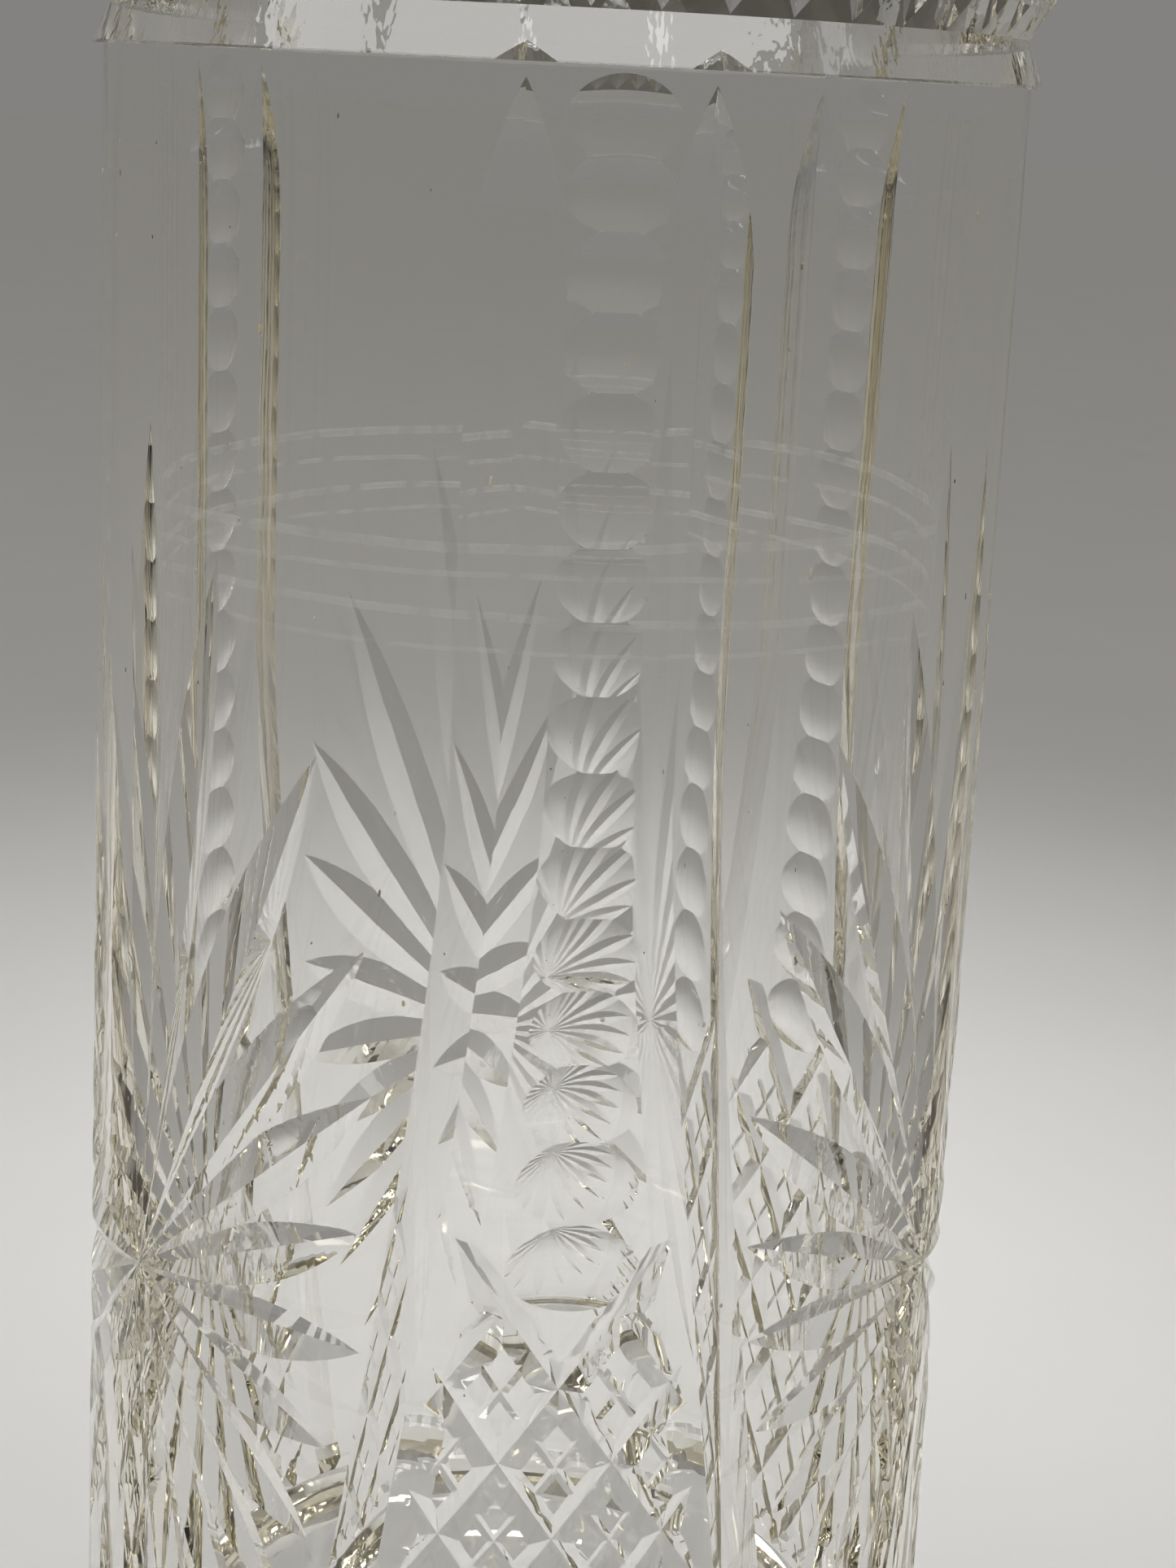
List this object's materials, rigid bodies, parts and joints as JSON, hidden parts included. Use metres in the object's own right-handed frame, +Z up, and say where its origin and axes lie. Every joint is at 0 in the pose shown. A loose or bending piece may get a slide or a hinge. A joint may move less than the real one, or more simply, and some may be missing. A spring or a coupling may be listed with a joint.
{
  "type": "cut crystal vase",
  "caption": "Tall straight cylindrical vase of thick clear cut crystal, with thumbprint columns, star rays, a diamond lattice and a flared notched rim.",
  "frame": {"origin": "centre of the flat underside that the vase stands on", "axes": "+Z up along the vase's axis, -Y through the middle of one thumbprint column, +X to the right of it"},
  "size_m": [0.117, 0.117, 0.25],
  "materials": {
    "crystal": "clear, very slightly warm in its thick parts, polished cuts with thin bright edges"
  },
  "bodies": {
    "root": {"vase_body": "crystal"}
  },
  "joints": []
}
